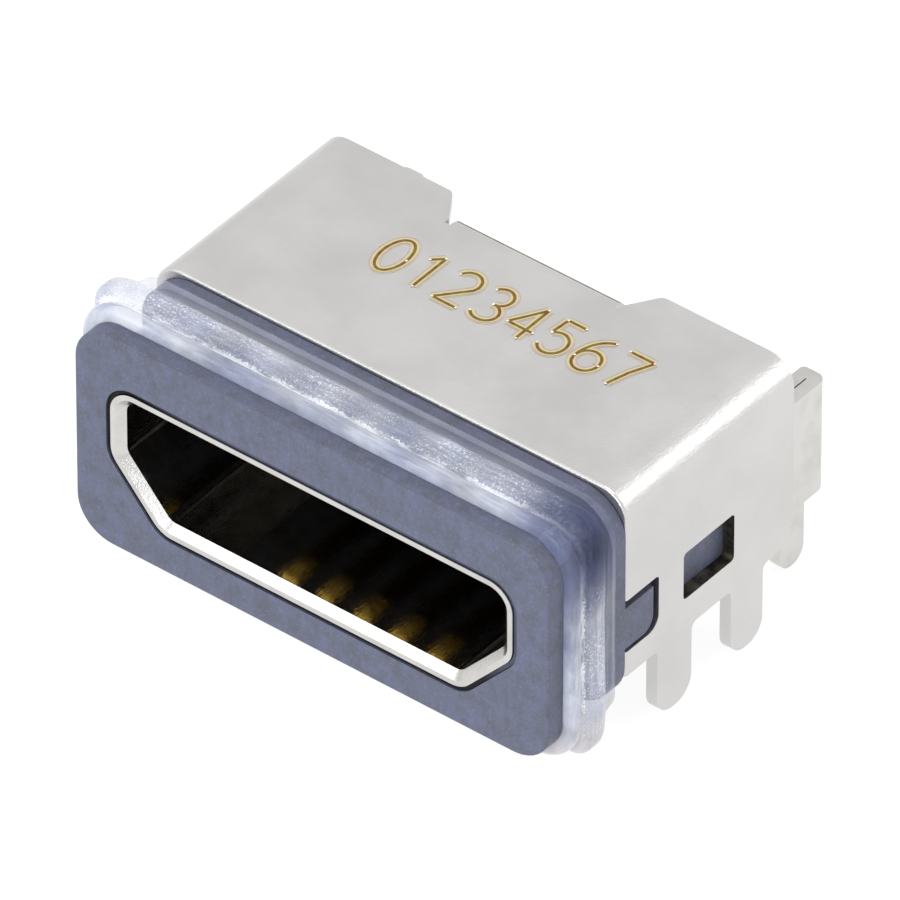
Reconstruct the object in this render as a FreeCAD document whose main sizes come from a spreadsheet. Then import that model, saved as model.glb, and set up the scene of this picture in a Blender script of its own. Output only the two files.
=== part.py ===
"""Sealed micro-B socket for a circuit board, as a parametric document in millimetres.

The origin is the centre of the plug opening, in the plane of the flange's front face. X runs across the
socket, Y into it, away from the plug, and Z up from the board. Each function builds one physical piece.
"""
import FreeCAD, Part
import os

import Sketcher

SIZES = {
    "plug_width": 6.9,  # plug opening, inside the shell
    "plug_height": 1.85,
    "plug_floor": 5.3,  # width of the opening's floor, between the two bevels
    "plug_bevel": 0.9,  # height of the bevels above the floor
    "plug_corner": 0.22,  # inside corner radius
    "plug_lead": 0.12,  # lead-in chamfer at the mouth
    "shell_sheet": 0.21,
    "shell_shy": 0.14,  # the shell's tube ends this far ahead of the block's rear
    "neck_low": 0.1,  # the shell's side straps that carry the rear wings
    "neck_high": 0.7,
    "neck_length": 0.45,
    "wing_length": 1.5,
    "wing_corner": 0.16,
    "wing_leg_inset": 0.2,  # from the leg to the wing's rear edge
    "wing_leg_width": 0.55,
    "wing_leg_drop": 1.32,  # below the board's surface
    "hem_length": 1.3,  # the wings are folded forward again on their outsides
    "hem_gap": 0.02,
    "hem_bend": 0.16,
    "sealant_gap": 0.08,
    "sealant_depth": 0.28,
    "sealant_sink": 0.03,  # how far the bead lies back from the face
    "face_side": 0.655,  # flange beyond the shell on each side
    "face_rim": 0.79,  # and above and below it
    "flange_lift": 0.105,  # flange centre above the opening's centre
    "flange_thick": 0.32,
    "flange_corner": 0.65,
    "flange_edge": 0.05,
    "groove_depth": 0.42,
    "groove_width": 1.17,
    "collar_side": 0.035,  # the collar's sides lie this far inside the flange's
    "collar_down": 0.1,  # and its top this far below
    "collar_up": 0.02,  # and its underside this far above
    "collar_thick": 0.3,
    "collar_corner": 0.7,
    "ring_clear": 0.02,
    "ring_waist": 0.04,  # the ring's waist lies this far inside the flange's outline
    "lip_stand": 0.22,  # both lips stand this far out of the flange's outline
    "rear_lip_corner": 0.42,
    "front_lip": 0.26,
    "lip_gap": 0.12,
    "rear_land": 0.13,  # bare waist behind the rear lip
    "cover_side": 0.032,  # the cover's walls lie this far inside the flange's
    "cover_down": 0.03,  # and its roof this far below
    "cover_sheet": 0.2,
    "cover_bend": 0.45,
    "cover_edge": 0.05,  # rounding of the outer front edge
    "cover_length": 3.86,
    "cover_gap": 0.01,  # cover to collar
    "floor_wall": 0.165,  # block under the shell, down to the board
    "front_leg_start": 0.74,  # from the cover's front edge
    "front_leg_width": 0.79,
    "rear_leg_inset": 0.68,  # from the cover's rear edge
    "rear_leg_width": 0.74,
    "leg_drop": 1.27,  # below the board's surface
    "leg_root": 0.12,
    "skirt_corner": 0.45,
    "slot_low": 0.85,  # front slot's lower edge, below the opening's centre
    "slot_height": 0.95,
    "slot_length": 0.76,
    "window_start": 1.33,
    "window_length": 1.17,
    "window_height": 0.85,
    "window_corner": 0.07,
    "key_gap": 0.05,  # housing key to the slot round it
    "key_sink": 0.02,
    "notch_depth": 0.52,
    "notch_width": 3.16,
    "notch_flare": 0.34,
    "relief_width": 0.1,
    "relief_depth": 0.1,
    "flap_reach": 0.22,  # the flap's outer face stands this far behind the notch
    "flap_bend": 0.3,
    "flap_low": 0.36,  # flap's lower edge, above the opening's centre
    "flap_gap": 0.02,
    "block_clear": 0.01,
    "carrier_depth": 1.1,
    "potting_depth": 0.3,
    "carrier_clear": 0.01,
    "tongue_tip": 0.85,
    "tongue_width": 4.4,
    "tongue_thick": 0.56,
    "tongue_edge": 0.1,
    "contact_pitch": 0.65,
    "contact_width": 0.26,
    "contact_sheet": 0.12,
    "contact_face": 0.1,  # contact's lower face above the opening's centre
    "contact_show": 0.06,  # how far it stands out of the tongue
    "contact_tip": 1.12,
    "contact_bend": 0.08,
    "contact_clear": 0.01,
    "tail_gap": 0.2,  # flap to the tails behind it
    "foot_length": 0.85,
}
CONTACT_COUNT = 5
AXES = {"X": FreeCAD.Vector(1, 0, 0), "Y": FreeCAD.Vector(0, 1, 0), "Z": FreeCAD.Vector(0, 0, 1)}
NEAR = 1e-4


class Length:
    """A size in millimetres together with the sheet formula that it comes from."""

    def __init__(self, value, formula):
        self.value = value
        self.formula = formula

    def __add__(self, other):
        other = length(other)
        return Length(self.value + other.value, f"({self.formula} + {other.formula})")

    def __sub__(self, other):
        other = length(other)
        return Length(self.value - other.value, f"({self.formula} - {other.formula})")

    def __mul__(self, other):
        other = length(other)
        return Length(self.value * other.value, f"({self.formula} * {other.formula})")

    def __truediv__(self, other):
        other = length(other)
        return Length(self.value / other.value, f"({self.formula} / {other.formula})")

    def __neg__(self):
        return Length(-self.value, f"(-1 * {self.formula})")

    def root(self):
        """The square root."""
        return Length(self.value**0.5, f"sqrt({self.formula})")


def length(number):
    """A Length as it is, or a plain number made into one."""
    return number if isinstance(number, Length) else Length(number, repr(number))


class Sizes:
    """The driving sizes, kept in a spreadsheet and read as Lengths."""

    def __init__(self, document, table):
        self.sheet = document.addObject("Spreadsheet::Sheet", "sizes")
        for row, (alias, value) in enumerate(table.items(), 1):
            self.sheet.set(f"A{row}", alias.replace("_", " "))
            self.sheet.set(f"B{row}", str(value))
            self.sheet.setAlias(f"B{row}", alias)
            setattr(self, alias, Length(value, f"sizes.{alias}"))


DOC = FreeCAD.newDocument("sealed_socket")
S = Sizes(DOC, SIZES)

MOUTH = length(0)
FLANGE_WIDTH = S.plug_width + (S.shell_sheet + S.face_side) * 2
FLANGE_HEIGHT = S.plug_height + (S.shell_sheet + S.face_rim) * 2
FLANGE_TOP = S.flange_lift + FLANGE_HEIGHT / 2
FLANGE_LOW = S.flange_lift - FLANGE_HEIGHT / 2
BOARD = -(S.plug_height / 2 + S.shell_sheet + S.floor_wall)
COLLAR_FRONT = S.flange_thick + S.groove_width
COLLAR_REAR = COLLAR_FRONT + S.collar_thick
COVER_HALF = FLANGE_WIDTH / 2 - S.cover_side
COVER_TOP = FLANGE_TOP - S.cover_down
COVER_UNDER = COVER_TOP - S.cover_sheet
COVER_FRONT = COLLAR_REAR + S.cover_gap
COVER_REAR = COVER_FRONT + S.cover_length
NOTCH_FRONT = COVER_REAR - S.notch_depth
FLAP_REAR = NOTCH_FRONT + S.flap_reach
BLOCK_REAR = FLAP_REAR - S.cover_sheet - S.flap_gap
SHELL_HALF = S.plug_width / 2 + S.shell_sheet
HEM_HALF = SHELL_HALF + S.hem_gap + S.shell_sheet
SHELL_REAR = BLOCK_REAR - S.shell_shy
WING_FRONT = SHELL_REAR + S.neck_length
WING_REAR = WING_FRONT + S.wing_length
CARRIER_REAR = SHELL_REAR - S.potting_depth
CARRIER_FRONT = CARRIER_REAR - S.carrier_depth
TONGUE_LOW = S.contact_face + S.contact_show
TAIL_FRONT = FLAP_REAR + S.tail_gap
ALL_WIDTH = FLANGE_WIDTH * 2
ALL_DOWN = BOARD * 4


def new_body(label):
    """An empty body whose label names its piece."""
    body = DOC.addObject("PartDesign::Body", label)
    body.Label = label
    return body


def sketch_on(body, role, name, offset=None):
    """An empty sketch on one of the body's own origin planes, moved along the plane's normal."""
    sketch = body.newObject("Sketcher::SketchObject", name)
    plane = [feature for feature in body.Origin.OriginFeatures if feature.Role == role][0]
    sketch.AttachmentSupport = [(plane, "")]
    sketch.MapMode = "FlatFace"
    if offset is not None:
        sketch.setExpression("AttachmentOffset.Base.z", offset.formula)
    return sketch


def draw(sketch, corners):
    """Add one closed polygon, with both coordinates of each corner bound to the sheet."""
    first = sketch.GeometryCount
    places = [FreeCAD.Vector(x.value, y.value, 0) for x, y in corners]
    count = len(places)
    for index in range(count):
        sketch.addGeometry(Part.LineSegment(places[index], places[(index + 1) % count]), False)
    for index in range(count):
        following = first + (index + 1) % count
        sketch.addConstraint(Sketcher.Constraint("Coincident", first + index, 2, following, 1))
    for index, pair in enumerate(corners):
        for kind, size in zip(("DistanceX", "DistanceY"), pair):
            rule = Sketcher.Constraint(kind, -1, 1, first + index, 1, size.value)
            number = sketch.addConstraint(rule)
            sketch.setExpression(f"Constraints[{number}]", size.formula)
    return sketch


def across(body, name, corners, start):
    """A sketch that faces the plug: corners in X and Z, at the depth start."""
    return draw(sketch_on(body, "XZ_Plane", name, -start), corners)


def settle(body):
    """Recompute, and stop if the body's newest feature failed."""
    DOC.recompute()
    if {"Invalid", "Error"} & set(body.Tip.State) or body.Shape.isNull():
        raise RuntimeError(f"{body.Label}: {body.Tip.Name} failed")


def pad_back(body, name, corners, start, depth):
    """A prism from the depth start, running back by depth."""
    feature = body.newObject("PartDesign::Pad", name)
    feature.Profile = across(body, name + "_outline", corners, start)
    feature.Reversed = True
    feature.setExpression("Length", depth.formula)
    settle(body)


def pad_wide(body, name, corners, width):
    """A prism of a side view, corners in Y and Z, spread evenly over the width."""
    feature = body.newObject("PartDesign::Pad", name)
    feature.Profile = draw(sketch_on(body, "YZ_Plane", name + "_outline"), corners)
    feature.SideType = "Symmetric"
    feature.setExpression("Length", width.formula)
    settle(body)


def check_cut(body, before):
    """Stop if the last feature took nothing away."""
    settle(body)
    if body.Shape.Volume > before - NEAR * NEAR:
        raise RuntimeError(f"{body.Label}: {body.Tip.Name} cuts nothing")


def pocket_back(body, name, outlines, start, depth=None):
    """Cut polygons in X and Z from the depth start backwards, by depth or right through."""
    before = body.Shape.Volume
    sketch = across(body, name + "_outline", outlines[0], start)
    for corners in outlines[1:]:
        draw(sketch, corners)
    feature = body.newObject("PartDesign::Pocket", name)
    feature.Profile = sketch
    if depth is None:
        feature.Type = "ThroughAll"
    else:
        feature.setExpression("Length", depth.formula)
    check_cut(body, before)


def pocket_wide(body, name, outlines, width):
    """Cut side-view polygons, in Y and Z, evenly to both sides over the width."""
    before = body.Shape.Volume
    sketch = sketch_on(body, "YZ_Plane", name + "_outline")
    for corners in outlines:
        draw(sketch, corners)
    feature = body.newObject("PartDesign::Pocket", name)
    feature.Profile = sketch
    feature.SideType = "Symmetric"
    feature.setExpression("Length", width.formula)
    check_cut(body, before)


def pocket_down(body, name, outlines, top, depth):
    """Cut plan-view polygons, in X and Y, from the height top downwards."""
    before = body.Shape.Volume
    sketch = sketch_on(body, "XY_Plane", name + "_outline", top)
    for corners in outlines:
        draw(sketch, corners)
    feature = body.newObject("PartDesign::Pocket", name)
    feature.Profile = sketch
    feature.setExpression("Length", depth.formula)
    check_cut(body, before)


def flat_place(point, axis):
    """The two coordinates of a point, seen along the axis."""
    return [value for name, value in zip("XYZ", (point.x, point.y, point.z)) if name != axis]


def soften(body, name, radius, corners, axis, span=None, kind="Fillet"):
    """Round or bevel the straight edges along the axis that pass through the corners of a view.

    Each corner is the pair of coordinates seen along the axis; span limits the edge's middle along it.
    """
    base = body.Tip
    wanted = [(a.value, b.value) for a, b in corners]
    chosen = []
    for number, edge in enumerate(base.Shape.Edges, 1):
        ends = [vertex.Point for vertex in edge.Vertexes]
        if len(ends) < 2 or (ends[1] - ends[0]).cross(AXES[axis]).Length > NEAR:
            continue
        middle = (ends[0] + ends[1]) * 0.5
        along = middle.dot(AXES[axis])
        if span and not span[0].value - NEAR < along < span[1].value + NEAR:
            continue
        place = flat_place(middle, axis)
        if any(max(abs(p - q) for p, q in zip(place, corner)) < NEAR for corner in wanted):
            chosen.append(f"Edge{number}")
    if not chosen:
        raise RuntimeError(f"{body.Label}: {name} finds no edge")
    add_edges(body, name, radius, base, chosen, kind)


def soften_outline(body, name, radius, depths, beyond):
    """Round the outlines at the given depths that reach beyond a rectangle's four corners."""
    base = body.Tip
    (left, low), _, (right, high), _ = [(x.value, z.value) for x, z in beyond]
    chosen = []
    for number, edge in enumerate(base.Shape.Edges, 1):
        points = [vertex.Point for vertex in edge.Vertexes]
        level = any(all(abs(point.y - depth.value) < NEAR for point in points) for depth in depths)
        reach = any(
            not (left - NEAR < point.x < right + NEAR and low - NEAR < point.z < high + NEAR)
            for point in points
        )
        if level and reach:
            chosen.append(f"Edge{number}")
    add_edges(body, name, radius, base, chosen, "Fillet")


def add_edges(body, name, radius, base, chosen, kind):
    """One fillet or chamfer feature over the chosen edges of its base."""
    feature = body.newObject("PartDesign::" + kind, name)
    feature.Base = (base, chosen)
    feature.setExpression("Radius" if kind == "Fillet" else "Size", radius.formula)
    settle(body)


def box_corners(left, right, low, high):
    """The four corners of an upright rectangle."""
    return [(left, low), (right, low), (right, high), (left, high)]


def centred(width, height, lift):
    """The four corners of a rectangle centred across the socket."""
    return box_corners(-width / 2, width / 2, lift - height / 2, lift + height / 2)


def plug_outline(offset):
    """The tapered plug outline, grown outwards by offset on every side."""
    grow = length(offset)
    half = S.plug_width / 2
    floor_half = S.plug_floor / 2
    run = half - floor_half
    rise = S.plug_bevel
    slope = (run * run + rise * rise).root()
    floor = -S.plug_height / 2
    knee = floor + rise - grow * (slope - rise) / run
    toe = floor_half + grow * (slope - run) / rise
    top = S.plug_height / 2 + grow
    right = [(toe, floor - grow), (half + grow, knee), (half + grow, top)]
    return right + [(-x, z) for x, z in reversed(right)]


def plug_block(body, name, offset, start, depth):
    """A rounded prism of the plug outline grown by offset."""
    outline = plug_outline(offset)
    pad_back(body, name, outline, start, depth)
    soften(body, name + "_corners", S.plug_corner + offset, outline, "Y", (start, start + depth))


def plug_hole(body, name, offset, depth):
    """A rounded hole of the plug outline grown by offset, from the mouth back to the depth."""
    outline = plug_outline(offset)
    pocket_back(body, name, [outline], MOUTH, depth)
    soften(body, name + "_corners", S.plug_corner + offset, outline, "Y", (MOUTH, depth))


def make_housing():
    """The moulded body: flange, ring groove, collar, the block under the cover and its side keys."""
    body = new_body("housing")
    flange = centred(FLANGE_WIDTH, FLANGE_HEIGHT, S.flange_lift)
    pad_back(body, "flange", flange, MOUTH, S.flange_thick)
    soften(body, "flange_corners", S.flange_corner, flange, "Y")
    soften_outline(body, "flange_edge", S.flange_edge, [MOUTH], centred(MOUTH, MOUTH, MOUTH))
    inset = S.groove_depth * 2
    core = centred(FLANGE_WIDTH - inset, FLANGE_HEIGHT - inset, S.flange_lift)
    pad_back(body, "groove_core", core, S.flange_thick, S.groove_width)
    soften(body, "core_corners", S.flange_corner - S.groove_depth / 2, core, "Y")
    collar_half = FLANGE_WIDTH / 2 - S.collar_side
    collar = box_corners(
        -collar_half, collar_half, FLANGE_LOW + S.collar_up, FLANGE_TOP - S.collar_down
    )
    pad_back(body, "collar", collar, COLLAR_FRONT, S.collar_thick)
    half = COVER_HALF - S.cover_sheet - S.block_clear
    top = COVER_UNDER - S.block_clear
    block = box_corners(-half, half, BOARD, top)
    pad_back(body, "block", block, COLLAR_REAR, BLOCK_REAR - COLLAR_REAR)
    soften(body, "block_corners", S.cover_bend - S.cover_sheet, block[2:], "Y", (COLLAR_REAR, BLOCK_REAR))
    soften(body, "collar_corners", S.collar_corner, collar, "Y")
    soften(body, "block_rear_edge", S.flap_bend - S.cover_sheet, [(BLOCK_REAR, top)], "X")
    key_half = COVER_HALF - S.key_sink
    key = box_corners(
        -key_half, key_half, -S.slot_low + S.key_gap, -S.slot_low + S.slot_height - S.key_gap * 3
    )
    key_rear = COVER_FRONT + S.slot_length - S.key_gap * 2
    pad_back(body, "keys", key, COLLAR_REAR, key_rear - COLLAR_REAR)
    low_rear = [(key_rear, key[0][1])]
    soften(body, "key_corners", S.slot_height / 4, low_rear, "X")
    plug_hole(body, "shell_hole", S.shell_sheet + S.block_clear, BLOCK_REAR + S.block_clear)
    plug_hole(body, "sealant_recess", S.shell_sheet + S.sealant_gap, S.sealant_depth)
    return body


def make_seal_ring():
    """The silicone ring: a waist in the groove with a narrow front lip and a wide rear lip."""
    body = new_body("seal_ring")
    front = S.flange_thick + S.ring_clear
    depth = S.groove_width - S.ring_clear * 2
    waist = S.ring_waist * 2
    lips = S.lip_stand * 2
    base = centred(FLANGE_WIDTH - waist, FLANGE_HEIGHT - waist, S.flange_lift)
    pad_back(body, "waist", base, front, depth)
    soften(body, "waist_corners", S.flange_corner - S.ring_waist, base, "Y")
    lip = centred(FLANGE_WIDTH + lips, FLANGE_HEIGHT + lips, S.flange_lift)
    rear_start = front + S.front_lip + S.lip_gap
    rear_lip = depth - S.front_lip - S.lip_gap - S.rear_land
    for name, start, width, corner, ease in (
        ("front_lip", front, S.front_lip, S.flange_corner, S.front_lip * 0.42),
        ("rear_lip", rear_start, rear_lip, S.rear_lip_corner, (S.lip_stand + S.ring_waist) * 0.75),
    ):
        span = (start, start + width)
        pad_back(body, name, lip, start, width)
        soften(body, name + "_corners", corner, lip, "Y", span)
        soften_outline(body, name + "_edges", ease, span, base)
    core_clear = (S.groove_depth - S.ring_clear) * 2
    core = centred(FLANGE_WIDTH - core_clear, FLANGE_HEIGHT - core_clear, S.flange_lift)
    pocket_back(body, "core_hole", [core], MOUTH)
    soften(body, "hole_corners", S.flange_corner - S.groove_depth / 2 + S.ring_clear, core, "Y")
    return body


def make_inner_shell():
    """The mating shell: a tapered tube whose sides run on into two hemmed rear wings with legs."""
    body = new_body("inner_shell")
    plug_block(body, "tube", S.shell_sheet, MOUTH, SHELL_REAR)
    neck_start = SHELL_REAR - S.neck_length
    leg_rear = WING_REAR - S.wing_leg_inset
    leg_front = leg_rear - S.wing_leg_width
    leg_tip = BOARD - S.wing_leg_drop
    facet = S.wing_corner * 0.29
    corner = [
        (WING_REAR - S.wing_corner, BOARD),
        (WING_REAR - facet, BOARD + facet),
        (WING_REAR, BOARD + S.wing_corner),
        (WING_REAR, S.neck_high),
    ]
    wing = [
        (neck_start, S.neck_low),
        (WING_FRONT, S.neck_low),
        (WING_FRONT, BOARD),
        (leg_front, BOARD),
        (leg_front, leg_tip),
        (leg_rear, leg_tip),
        (leg_rear, BOARD),
        *corner,
        (neck_start, S.neck_high),
    ]
    pad_wide(body, "wings", wing, SHELL_HALF * 2)
    hem_front = WING_REAR - S.hem_length
    hem = [(hem_front, BOARD), *corner, (hem_front, S.neck_high)]
    pad_wide(body, "hems", hem, HEM_HALF * 2)
    plug_hole(body, "plug_space", length(0), SHELL_REAR)
    half = S.plug_width / 2
    pocket_back(body, "between_wings", [box_corners(-half, half, ALL_DOWN, COVER_TOP)], SHELL_REAR)
    ahead = hem_front - S.shell_sheet
    folded = WING_REAR - S.shell_sheet
    outer = SHELL_HALF + S.hem_gap
    slits = [
        box_corners(SHELL_HALF, outer, ahead, folded),
        box_corners(-outer, -SHELL_HALF, ahead, folded),
    ]
    pocket_down(body, "hem_slits", slits, S.neck_high, S.neck_high - BOARD)
    soften(body, "wing_tips", S.wing_leg_width * 0.48, wing[4:6], "X")
    soften(body, "wing_roots", S.leg_root, [wing[3]], "X")
    soften(body, "hem_outside", S.hem_bend, [(-HEM_HALF, WING_REAR), (HEM_HALF, WING_REAR)], "Z")
    soften(body, "hem_inside", S.hem_bend / 2, [(-half, WING_REAR), (half, WING_REAR)], "Z")
    chamfer_mouth(body)
    return body


def chamfer_mouth(body):
    """The lead-in round the inside of the mouth."""
    base = body.Tip
    limit = S.plug_width / 2 + S.shell_sheet / 2
    chosen = []
    for number, edge in enumerate(base.Shape.Edges, 1):
        box = edge.BoundBox
        inside = max(abs(box.XMin), abs(box.XMax)) < limit.value
        inside = inside and max(abs(box.ZMin), abs(box.ZMax)) < (S.plug_height / 2 + NEAR).value
        if inside and abs(box.YMin) < NEAR and abs(box.YMax) < NEAR:
            chosen.append(f"Edge{number}")
    add_edges(body, "lead_in", S.plug_lead, base, chosen, "Chamfer")


def make_shell_sealant():
    """The bead in the recess between the housing and the shell."""
    body = new_body("shell_sealant")
    rear = S.sealant_depth - S.block_clear
    width = S.shell_sheet + S.sealant_gap - S.block_clear
    outline = plug_outline(width)
    pad_back(body, "bead", outline, S.sealant_sink, rear - S.sealant_sink)
    plug_hole(body, "shell_space", S.shell_sheet + S.block_clear, rear)
    soften(body, "bead_corners", S.plug_corner + width, outline, "Y")
    return body


def make_cover_shell():
    """The folded cover: a bent roof and two walls, stamped with legs, slots, windows and a rear notch."""
    body = new_body("cover_shell")
    tip = BOARD - S.leg_drop
    outside = box_corners(-COVER_HALF, COVER_HALF, tip, COVER_TOP)
    pad_back(body, "folded_sheet", outside, COVER_FRONT, S.cover_length)
    soften(body, "outer_bends", S.cover_bend, outside[2:], "Y")
    soften_outline(body, "front_edge", S.cover_edge, [COVER_FRONT], centred(MOUTH, MOUTH, MOUTH))
    inner_half = COVER_HALF - S.cover_sheet
    inside = box_corners(-inner_half, inner_half, tip - S.cover_sheet, COVER_UNDER)
    pocket_back(body, "inside", [inside], MOUTH)
    soften(body, "inner_bends", S.cover_bend - S.cover_sheet, inside[2:], "Y")
    stamp_walls(body, tip)
    stamp_roof(body)
    fold_flap(body)
    return body


def stamp_walls(body, tip):
    """The outline of both side walls: four legs, front slots and windows."""
    front_leg = COVER_FRONT + S.front_leg_start
    front_leg_rear = front_leg + S.front_leg_width
    rear_leg_rear = COVER_REAR - S.rear_leg_inset
    rear_leg = rear_leg_rear - S.rear_leg_width
    low = tip - S.cover_sheet
    ahead = COVER_FRONT - S.cover_sheet
    behind = COVER_REAR + S.cover_sheet
    gaps = [
        box_corners(ahead, front_leg, low, BOARD),
        box_corners(front_leg_rear, rear_leg, low, BOARD),
        box_corners(rear_leg_rear, behind, low, BOARD),
    ]
    pocket_wide(body, "leg_gaps", gaps, ALL_WIDTH)
    slot_rear = COVER_FRONT + S.slot_length
    slot_top = -S.slot_low + S.slot_height
    window_front = COVER_FRONT + S.window_start
    window_rear = window_front + S.window_length
    window_low = slot_top - S.window_height
    holes = [
        box_corners(ahead, slot_rear, -S.slot_low, slot_top),
        box_corners(window_front, window_rear, window_low, slot_top),
    ]
    pocket_wide(body, "slots_and_windows", holes, ALL_WIDTH)
    soften(body, "window_corners", S.window_corner, holes[1] + [holes[0][2]], "X")
    soften(body, "slot_corners", S.slot_height / 4, [holes[0][1]], "X")
    tips = [(y, tip) for y in (front_leg, front_leg_rear, rear_leg, rear_leg_rear)]
    soften(body, "front_leg_tips", S.front_leg_width * 0.46, tips[:2], "X")
    soften(body, "rear_leg_tips", S.rear_leg_width * 0.46, tips[2:], "X")
    roots = [(y, BOARD) for y in (front_leg, front_leg_rear, rear_leg, rear_leg_rear)]
    soften(body, "leg_roots", S.leg_root, roots, "X")
    soften(body, "skirt_corners", S.skirt_corner, [(COVER_REAR, BOARD)], "X")


def stamp_roof(body):
    """The flared notch in the roof's rear edge, with a relief cut at each end of the flap."""
    inner = S.notch_width / 2
    outer = inner + S.notch_flare
    flap = inner - S.relief_width
    behind = COVER_REAR + S.cover_sheet
    relief = NOTCH_FRONT - S.relief_depth
    notch = [
        (-outer, behind),
        (-outer, COVER_REAR),
        (-inner, NOTCH_FRONT),
        (-inner, relief),
        (-flap, relief),
        (-flap, NOTCH_FRONT),
        (flap, NOTCH_FRONT),
        (flap, relief),
        (inner, relief),
        (inner, NOTCH_FRONT),
        (outer, COVER_REAR),
        (outer, behind),
    ]
    pocket_down(body, "rear_notch", [notch], COVER_TOP, S.cover_sheet * 2)
    soften(body, "notch_corners", S.notch_flare * 0.4, [notch[1], notch[10]], "Z")


def fold_flap(body):
    """The flap bent down from the middle of the roof, behind the block."""
    flap_front = FLAP_REAR - S.cover_sheet
    start = NOTCH_FRONT - S.relief_depth
    flap = [
        (start, COVER_UNDER),
        (flap_front, COVER_UNDER),
        (flap_front, S.flap_low),
        (FLAP_REAR, S.flap_low),
        (FLAP_REAR, COVER_TOP),
        (start, COVER_TOP),
    ]
    pad_wide(body, "rear_flap", flap, S.notch_width - S.relief_width * 2)
    soften(body, "flap_outer_bend", S.flap_bend, [flap[4]], "X")
    soften(body, "flap_inner_bend", S.flap_bend - S.cover_sheet, [flap[1]], "X")


def contact_places():
    """The middle of each contact across the socket, from left to right."""
    return [S.contact_pitch * (index - (CONTACT_COUNT - 1) / 2) for index in range(CONTACT_COUNT)]


def contact_tunnels():
    """The space round each contact, as outlines in X and Z."""
    half = S.contact_width / 2 + S.contact_clear
    low = S.contact_face - S.contact_clear
    high = S.contact_face + S.contact_sheet + S.contact_clear
    return [box_corners(place - half, place + half, low, high) for place in contact_places()]


def make_contact_carrier():
    """The block that fills the rear of the shell and the tongue that carries the contacts."""
    body = new_body("contact_carrier")
    plug_block(body, "base", -S.carrier_clear, CARRIER_FRONT, S.carrier_depth)
    tongue_half = S.tongue_width / 2
    tongue_top = TONGUE_LOW + S.tongue_thick
    tongue = box_corners(-tongue_half, tongue_half, TONGUE_LOW, tongue_top)
    pad_back(body, "tongue", tongue, S.tongue_tip, CARRIER_FRONT - S.tongue_tip)
    tip_edges = [(S.tongue_tip, TONGUE_LOW), (S.tongue_tip, tongue_top)]
    soften(body, "tongue_edges", S.tongue_edge, tip_edges, "X", kind="Chamfer")
    pocket_back(body, "contact_slots", contact_tunnels(), S.contact_tip - S.contact_clear)
    return body


def make_rear_potting():
    """The resin that closes the shell behind the carrier, round the contacts."""
    body = new_body("rear_potting")
    plug_block(body, "resin", -S.carrier_clear, CARRIER_REAR, S.potting_depth)
    pocket_back(body, "contact_ways", contact_tunnels(), CARRIER_REAR)
    return body


def make_contact(index, place):
    """One contact: a flat blade under the tongue, bent down behind and out to a solder foot."""
    body = new_body(f"contact_{index}")
    sheet = S.contact_sheet
    face = S.contact_face
    tail_rear = TAIL_FRONT + sheet
    strip = [
        (S.contact_tip, face),
        (TAIL_FRONT, face),
        (TAIL_FRONT, BOARD),
        (tail_rear + S.foot_length, BOARD),
        (tail_rear + S.foot_length, BOARD + sheet),
        (tail_rear, BOARD + sheet),
        (tail_rear, face + sheet),
        (S.contact_tip, face + sheet),
    ]
    pad_wide(body, "strip", strip, S.contact_width)
    soften(body, "inner_bends", S.contact_bend, [strip[1], strip[5]], "X")
    soften(body, "outer_bends", S.contact_bend + sheet, [strip[2], strip[6]], "X")
    soften(body, "nose", sheet * 0.6, [strip[0]], "X")
    body.setExpression("Placement.Base.x", place.formula)
    DOC.recompute()
    return body


def check_document(bodies):
    """Stop at any object that failed or any piece without a sound solid."""
    DOC.recompute()
    failed = [item.Name for item in DOC.Objects if {"Invalid", "Error"} & set(item.State)]
    if failed:
        raise RuntimeError("failed: " + ", ".join(failed))
    for body in bodies:
        shape = body.Shape
        if shape.isNull() or not shape.isValid() or len(shape.Solids) != 1:
            raise RuntimeError(f"{body.Label}: {len(shape.Solids)} solids, sound {shape.isValid()}")


def main():
    """Build every piece, check the document and write one STEP file for each piece."""
    bodies = [
        make_housing(),
        make_seal_ring(),
        make_inner_shell(),
        make_shell_sealant(),
        make_cover_shell(),
        make_contact_carrier(),
        make_rear_potting(),
    ]
    bodies += [make_contact(index, place) for index, place in enumerate(contact_places(), 1)]
    check_document(bodies)
    os.makedirs("parts", exist_ok=True)
    for body in bodies:
        body.Shape.exportStep(f"parts/{body.Label}.step")
        print(f"{body.Label}: {body.Shape.Volume:.3f} cubic millimetres")


main()
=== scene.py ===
"""Looks of the sealed micro-B board socket: finishes, the moulded silicone ring and the marking.

Lengths are written in millimetres and handed to Blender in metres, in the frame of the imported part: X
across the socket, Y into it, Z up, from the middle of the plug opening. Powers are in watts.
"""

from __future__ import annotations

import logging
import math
from dataclasses import dataclass
from enum import Enum
from typing import Any

import bmesh
import bpy
import numpy as np
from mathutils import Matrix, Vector

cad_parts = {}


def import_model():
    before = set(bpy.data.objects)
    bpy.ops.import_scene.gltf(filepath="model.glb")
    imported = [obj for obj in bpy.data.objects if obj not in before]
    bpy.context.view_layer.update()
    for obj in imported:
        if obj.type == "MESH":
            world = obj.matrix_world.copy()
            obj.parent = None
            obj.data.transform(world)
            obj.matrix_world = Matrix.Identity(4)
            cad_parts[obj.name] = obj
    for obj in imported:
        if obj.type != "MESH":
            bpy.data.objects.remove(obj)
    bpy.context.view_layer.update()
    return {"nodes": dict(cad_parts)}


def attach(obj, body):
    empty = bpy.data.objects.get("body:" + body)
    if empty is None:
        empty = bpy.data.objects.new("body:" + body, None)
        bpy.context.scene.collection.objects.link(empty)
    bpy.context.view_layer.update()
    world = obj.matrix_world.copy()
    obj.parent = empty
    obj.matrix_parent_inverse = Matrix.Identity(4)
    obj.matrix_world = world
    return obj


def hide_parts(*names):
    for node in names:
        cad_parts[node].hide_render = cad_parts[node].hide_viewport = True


LOG = logging.getLogger("socket")
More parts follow.
